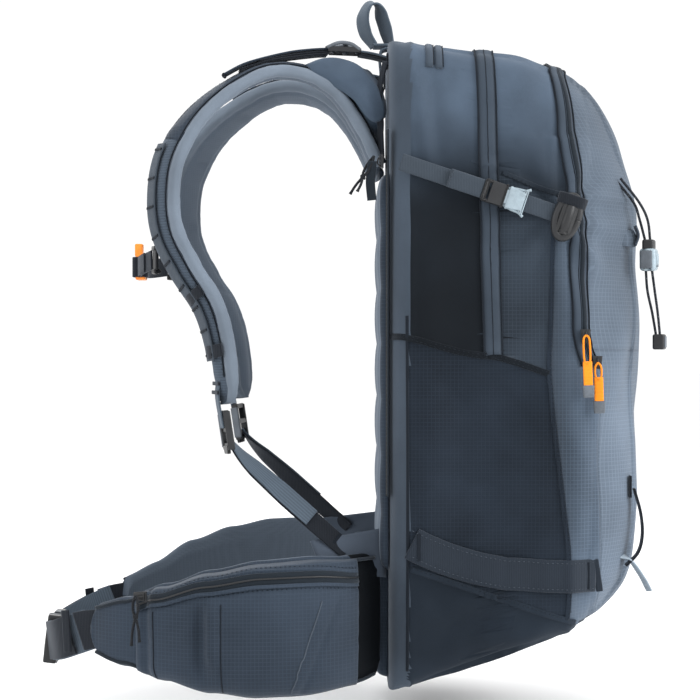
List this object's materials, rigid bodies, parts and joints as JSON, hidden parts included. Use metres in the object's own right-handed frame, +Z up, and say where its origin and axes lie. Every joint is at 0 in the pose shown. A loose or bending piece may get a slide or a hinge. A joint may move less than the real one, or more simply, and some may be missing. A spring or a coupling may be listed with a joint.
{
  "type": "ski_backpack",
  "caption": "Ski touring backpack of about 30 litres in slate blue cloth, with fastened shoulder straps, sternum strap, hip belt, compression straps, ski bands and opening front flap.",
  "frame": {"origin": "middle of the flat back panel, where it meets the wearer's back", "axes": "+Z up, +Y forward from the pack to the wearer's chest, +X to the wearer's right"},
  "size_m": [0.363, 0.575, 0.6341],
  "materials": {
    "shell": "woven ripstop nylon, dark slate blue",
    "upper_cloth": "smooth stretch cloth, slate blue",
    "pad": "padded knit and mesh cloth, slate grey",
    "webbing": "flat woven webbing",
    "light_webbing": "lighter grey woven tape",
    "plastic": "moulded black nylon",
    "grey": "moulded silver-grey nylon",
    "orange": "orange moulded or woven pull",
    "cord": "braided cord"
  },
  "bodies": {
    "root": {"main_compartment": "shell", "front_pocket": "shell", "main_zip": "webbing", "front_zip": "webbing", "back_panel": "pad", "hip_pocket": "shell", "hip_buckle_female": "plastic", "hip_web_left": "webbing", "hip_web_right": "webbing", "axe_loop": "light_webbing", "shoulder_strap_left": "pad", "load_lifter_front_left": "webbing", "load_lifter_rear_left": "light_webbing", "adjuster_webbing_left": "webbing", "hip_wing_left": "pad", "compression_rear_left": "light_webbing", "compression_buckle_female_left": "plastic", "compression_front_left": "webbing", "compression_roll_left": "webbing", "ski_band_left": "light_webbing", "shoulder_strap_right": "pad", "load_lifter_front_right": "webbing", "load_lifter_rear_right": "light_webbing", "adjuster_webbing_right": "webbing", "hip_wing_right": "pad", "compression_rear_right": "light_webbing", "compression_buckle_female_right": "plastic", "compression_front_right": "webbing", "compression_roll_right": "webbing", "ski_band_right": "light_webbing"},
    "front_flap": {"front_flap": "shell", "lash_tab": "shell", "lash_cord_upper": "cord", "lash_cord_lower": "cord", "cord_end": "plastic"},
    "cord_lock": {"cord_lock_body": "grey"},
    "lock_button": {"cord_lock_button": "plastic"},
    "front_slider": {"front_zip_slider": "plastic"},
    "front_pull": {"front_zip_pull": "orange"},
    "lower_pull": {"front_zip_lower_pull": "orange"},
    "main_slider": {"main_zip_slider": "plastic"},
    "main_pull": {"main_zip_pull": "orange"},
    "back_slider": {"back_zip_slider": "plastic"},
    "back_pull": {"back_zip_pull": "cord"},
    "hip_slider": {"hip_zip_slider": "plastic"},
    "hip_pull": {"hip_zip_pull": "cord"},
    "haul_loop": {"haul_loop": "webbing"},
    "sternum": {"sternum_buckle_female": "orange", "sternum_slider_left": "plastic", "sternum_slider_right": "plastic", "sternum_web_left": "webbing", "sternum_web_right": "webbing"},
    "sternum_male": {"sternum_buckle_male": "plastic"},
    "hip_male": {"hip_buckle_male": "plastic"},
    "lifter_lock_left": {"load_lifter_lock_left": "plastic"},
    "adjuster_lock_left": {"adjuster_lock_left": "plastic"},
    "compression_male_left": {"compression_buckle_male_left": "grey"},
    "lifter_lock_right": {"load_lifter_lock_right": "plastic"},
    "adjuster_lock_right": {"adjuster_lock_right": "plastic"},
    "compression_male_right": {"compression_buckle_male_right": "grey"}
  },
  "joints": [
    {"name": "flap_hinge", "type": "hinge", "parent": "root", "child": "front_flap", "pos_m": [0, -0.247, 0], "axis": [1, 0, 0], "range_deg": [0, 80]},
    {"name": "lock_slide", "type": "slide", "parent": "front_flap", "child": "cord_lock", "axis": [0, -0.05, -0.9987], "range_m": [0, 0.03], "deforming": ["lash_cord_lower", "lash_cord_upper"]},
    {"name": "lock_press", "type": "slide", "parent": "cord_lock", "child": "lock_button", "axis": [0, 0, -1], "range_m": [0, 0.003], "stiffness_N_per_m": 300},
    {"name": "front_zip_slide", "type": "slide", "parent": "root", "child": "front_slider", "axis": [0.0116, 0.0587, 0.9982], "range_m": [0, 0.06]},
    {"name": "front_pull_swing", "type": "hinge", "parent": "front_slider", "child": "front_pull", "pos_m": [-0.1515, -0.183, 0.012], "axis": [0, 1, 0], "range_deg": [0, 100]},
    {"name": "lower_pull_swing", "type": "hinge", "parent": "root", "child": "lower_pull", "pos_m": [-0.1455, -0.194, -0.012], "axis": [0, 1, 0], "range_deg": [0, 100]},
    {"name": "main_zip_slide", "type": "slide", "parent": "root", "child": "main_slider", "axis": [-0.0311, 0.0238, 0.9992], "range_m": [0, 0.08]},
    {"name": "main_pull_swing", "type": "hinge", "parent": "main_slider", "child": "main_pull", "pos_m": [0.1615, -0.094, 0.016], "axis": [0, -1, 0], "range_deg": [0, 100]},
    {"name": "back_zip_slide", "type": "slide", "parent": "root", "child": "back_slider", "axis": [0, 0, -1], "range_m": [0, 0.22]},
    {"name": "back_pull_swing", "type": "hinge", "parent": "back_slider", "child": "back_pull", "pos_m": [-0.127, 0.003, 0.171], "axis": [1, 0, 0], "range_deg": [0, 90]},
    {"name": "hip_zip_slide", "type": "slide", "parent": "root", "child": "hip_slider", "axis": [-0.4191, -0.908, 0], "range_m": [0, 0.03]},
    {"name": "hip_pull_swing", "type": "hinge", "parent": "hip_slider", "child": "hip_pull", "pos_m": [-0.177, 0.2105, -0.214], "axis": [0.4191, 0.908, 0], "range_deg": [0, 90]},
    {"name": "haul_loop_tilt", "type": "hinge", "parent": "root", "child": "haul_loop", "pos_m": [0, -0.006, 0.288], "axis": [1, 0, 0], "range_deg": [-20, 20]},
    {"name": "sternum_height", "type": "slide", "parent": "root", "child": "sternum", "axis": [0, 0.42, 0.9075], "range_m": [-0.012, 0.012]},
    {"name": "sternum_release", "type": "slide", "parent": "sternum", "child": "sternum_male", "axis": [1, 0, 0], "range_m": [0, 0.03], "deforming": ["sternum_web_right"]},
    {"name": "hip_release", "type": "slide", "parent": "root", "child": "hip_male", "axis": [-1, 0, 0], "range_m": [0, 0.045], "deforming": ["hip_web_left"]},
    {"name": "lifter_lock_left_tilt", "type": "hinge", "parent": "root", "child": "lifter_lock_left", "pos_m": [-0.0775, 0.018, 0.2745], "axis": [1, 0, 0], "range_deg": [0, 20]},
    {"name": "adjuster_lock_left_tilt", "type": "hinge", "parent": "root", "child": "adjuster_lock_left", "pos_m": [-0.117, 0.1365, -0.056], "axis": [1, 0, 0], "range_deg": [-15, 15]},
    {"name": "compression_left_release", "type": "slide", "parent": "root", "child": "compression_male_left", "axis": [-0.0058, -0.9478, -0.3189], "range_m": [0, 0.02], "deforming": ["compression_front_left"]},
    {"name": "lifter_lock_right_tilt", "type": "hinge", "parent": "root", "child": "lifter_lock_right", "pos_m": [0.0775, 0.018, 0.2745], "axis": [1, 0, 0], "range_deg": [0, 20]},
    {"name": "adjuster_lock_right_tilt", "type": "hinge", "parent": "root", "child": "adjuster_lock_right", "pos_m": [0.117, 0.1365, -0.056], "axis": [1, 0, 0], "range_deg": [-15, 15]},
    {"name": "compression_right_release", "type": "slide", "parent": "root", "child": "compression_male_right", "axis": [0.0058, -0.9478, -0.3189], "range_m": [0, 0.02], "deforming": ["compression_front_right"]}
  ]
}
